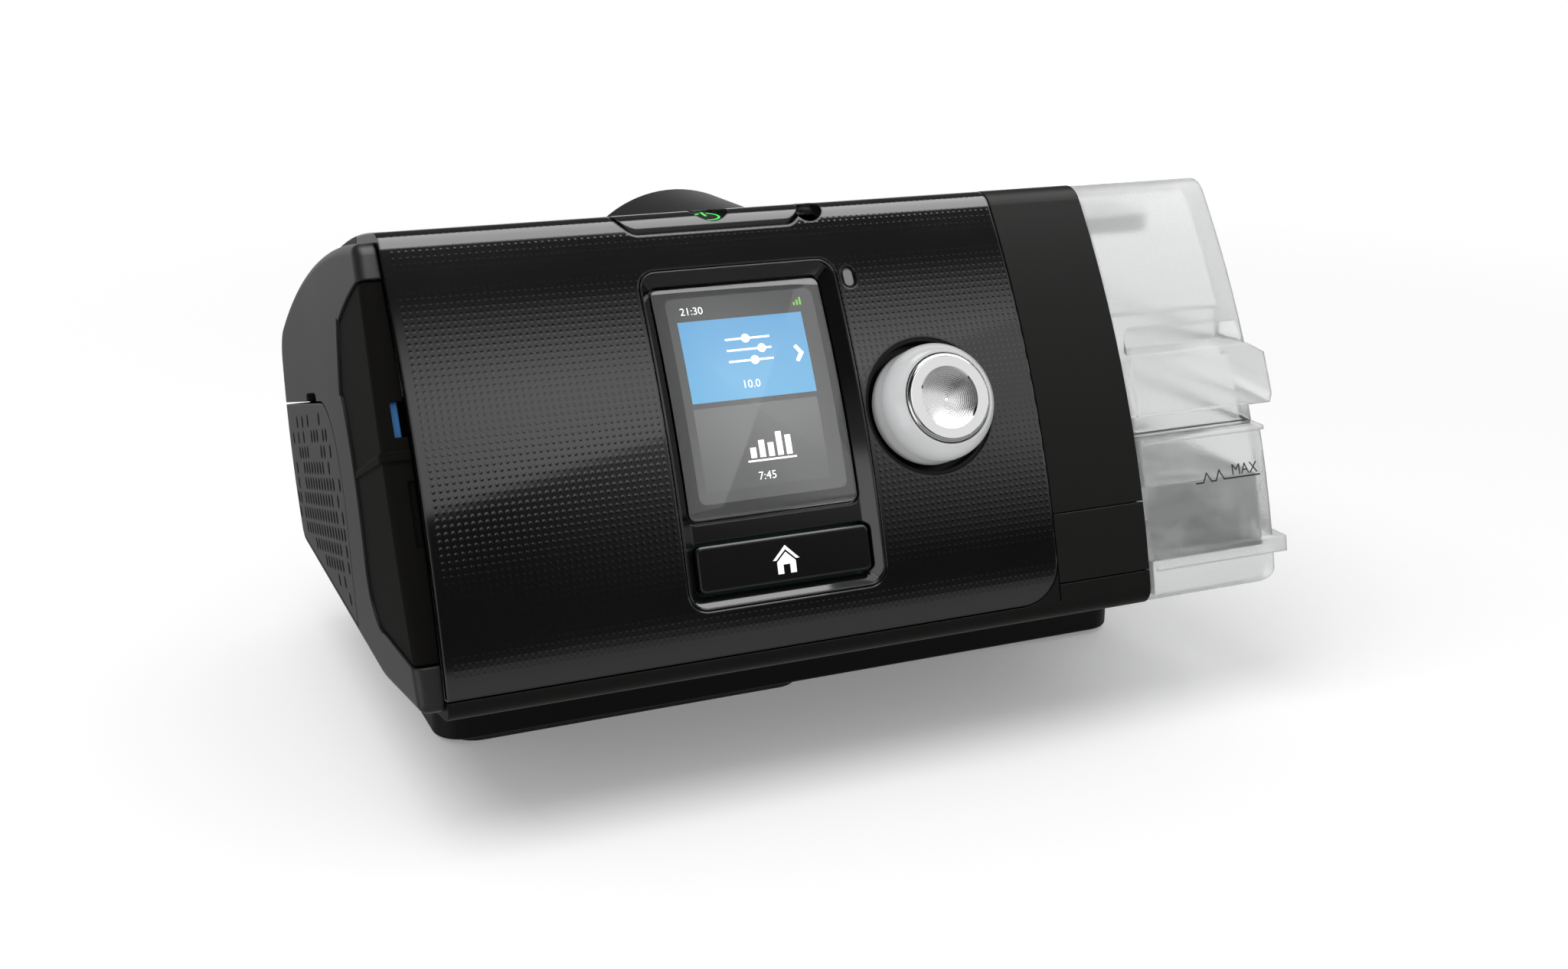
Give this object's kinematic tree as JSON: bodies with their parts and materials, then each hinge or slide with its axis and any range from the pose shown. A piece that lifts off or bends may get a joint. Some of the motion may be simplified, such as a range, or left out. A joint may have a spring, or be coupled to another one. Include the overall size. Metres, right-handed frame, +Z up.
{
  "type": "bedside positive airway pressure machine",
  "caption": "Bedside breathing therapy blower with a bowed glossy front, colour screen, push-and-turn dial, hinged side doors and a clear slide-in water tub.",
  "frame": {"origin": "centre of the footprint of the whole object, on the surface it stands on", "axes": "+X to the machine's right, towards the tub; +Y to the back; +Z up"},
  "size_m": [0.205, 0.1486, 0.116],
  "materials": {
    "matte_black": "fine satin moulded plastic",
    "gloss_black": "polished with a lattice of fine dots",
    "bezel_black": "polished",
    "side_grey": "satin moulded plastic",
    "band_black": "matte moulded plastic",
    "card_black": "matte moulded plastic",
    "screen_glass": "clear cover glass",
    "screen_lit": "lit colour display",
    "key_black": "polished key",
    "pearl_white": "pearly smooth plastic",
    "dial_chrome": "turned bright metal with fine rings",
    "light_green": "clear light ring",
    "sensor_clear": "small clear window",
    "card_blue": "moulded card case",
    "rubber_black": "soft rubber",
    "steel": "ground steel",
    "plate_metal": "brushed plate",
    "tub_clear": "clear moulded plastic, partly frosted",
    "seal_clear": "translucent silicone",
    "filter_white": "fibre pad",
    "foam_grey": "open foam",
    "inner_white": "plain moulded plastic",
    "board_green": "circuit board",
    "parts_dark": "electronic parts",
    "pin_brass": "plated contact pins"
  },
  "bodies": {
    "casing": {"stand_base": "matte_black", "rubber_feet": "rubber_black", "housing_screws": "steel", "lower_housing": "matte_black", "front_fascia": "gloss_black", "screen_bezel": "bezel_black", "screen_lens": "screen_glass", "lcd_panel": "screen_lit", "display_board": "board_green", "home_switch": "parts_dark", "start_board": "board_green", "dial_cup": "bezel_black", "encoder": "parts_dark", "sensor_window": "sensor_clear", "end_band": "band_black", "badge_panel": "band_black", "rear_housing": "band_black", "side_cover": "side_grey", "card_reader": "steel", "air_filter": "filter_white", "filter_tray": "inner_white", "inlet_foam": "foam_grey", "outlet_duct": "rubber_black", "outlet_seal": "seal_clear", "outlet_connector": "matte_black", "power_inlet": "matte_black", "power_pins": "pin_brass", "accessory_socket": "parts_dark", "tub_bay": "matte_black", "heater_insulator": "inner_white", "heater_plate": "plate_metal", "blower_lower": "inner_white", "blower_upper": "inner_white", "motor_stator": "steel", "motor_bearings": "steel", "blower_mounts": "rubber_black", "tub_inlet_duct": "rubber_black", "main_board": "board_green", "board_parts": "parts_dark", "flow_sensor": "parts_dark"},
    "home_key": {"home_button": "key_black"},
    "start_key": {"start_button": "key_black", "status_light": "light_green"},
    "dial_stem": {"encoder_plunger": "steel"},
    "dial_knob": {"dial_skirt": "pearl_white", "dial_cap": "dial_chrome", "dial_shaft": "steel"},
    "card_door": {"card_cover": "card_black", "card_hinge_pin": "steel"},
    "card": {"memory_card": "card_blue"},
    "filter_door": {"filter_cover": "side_grey", "filter_hinge_pin": "steel"},
    "cord_clip": {"retention_clip": "matte_black"},
    "socket_door": {"adapter_cover": "band_black"},
    "water_tub": {"tub_base": "tub_clear", "tub_plate": "plate_metal", "tub_seal": "seal_clear", "tub_lid": "tub_clear"},
    "fan": {"impeller": "inner_white", "motor_rotor": "steel"}
  },
  "joints": [
    {"name": "home_press", "type": "slide", "parent": "casing", "child": "home_key", "axis": [0, 0.9555, -0.2949], "range_m": [0, 0.0006], "stiffness_N_per_m": 1500, "springref_m": -0.0004},
    {"name": "start_press", "type": "slide", "parent": "casing", "child": "start_key", "axis": [0, 0, -1], "range_m": [0, 0.0008], "stiffness_N_per_m": 1500, "springref_m": -0.0004},
    {"name": "dial_press", "type": "slide", "parent": "casing", "child": "dial_stem", "axis": [0, 0.9089, -0.4171], "range_m": [0, 0.0008], "stiffness_N_per_m": 2000, "springref_m": -0.0004},
    {"name": "dial_turn", "type": "hinge", "parent": "dial_stem", "child": "dial_knob", "pos_m": [0.0148, -0.05953, 0.07549], "axis": [0, -0.9089, 0.4171], "continuous": true},
    {"name": "card_door_swing", "type": "hinge", "parent": "casing", "child": "card_door", "pos_m": [-0.10135, -0.01765, 0.088], "axis": [0, 0, -1], "range_deg": [0, 95]},
    {"name": "card_push", "type": "slide", "parent": "casing", "child": "card", "axis": [0, 0.8918, -0.4524], "range_m": [0, 0.0012], "stiffness_N_per_m": 800, "springref_m": -0.0005},
    {"name": "filter_door_drop", "type": "hinge", "parent": "casing", "child": "filter_door", "pos_m": [-0.0997, 0.018, 0.0266], "axis": [0, -1, 0], "range_deg": [0, 85]},
    {"name": "cord_clip_swing", "type": "hinge", "parent": "casing", "child": "cord_clip", "pos_m": [-0.062, 0.0664, 0.0332], "axis": [-1, 0, 0], "range_deg": [0, 90]},
    {"name": "socket_door_swing", "type": "hinge", "parent": "casing", "child": "socket_door", "pos_m": [-0.0389, 0.0634, 0.04], "axis": [0, 0, 1], "range_deg": [0, 100]},
    {"name": "tub_slide", "type": "slide", "parent": "casing", "child": "water_tub", "axis": [1, 0, 0], "range_m": [0, 0.1]},
    {"name": "fan_spin", "type": "hinge", "parent": "casing", "child": "fan", "pos_m": [-0.064, 0.015, 0.06], "axis": [0, 0, 1], "continuous": true}
  ]
}
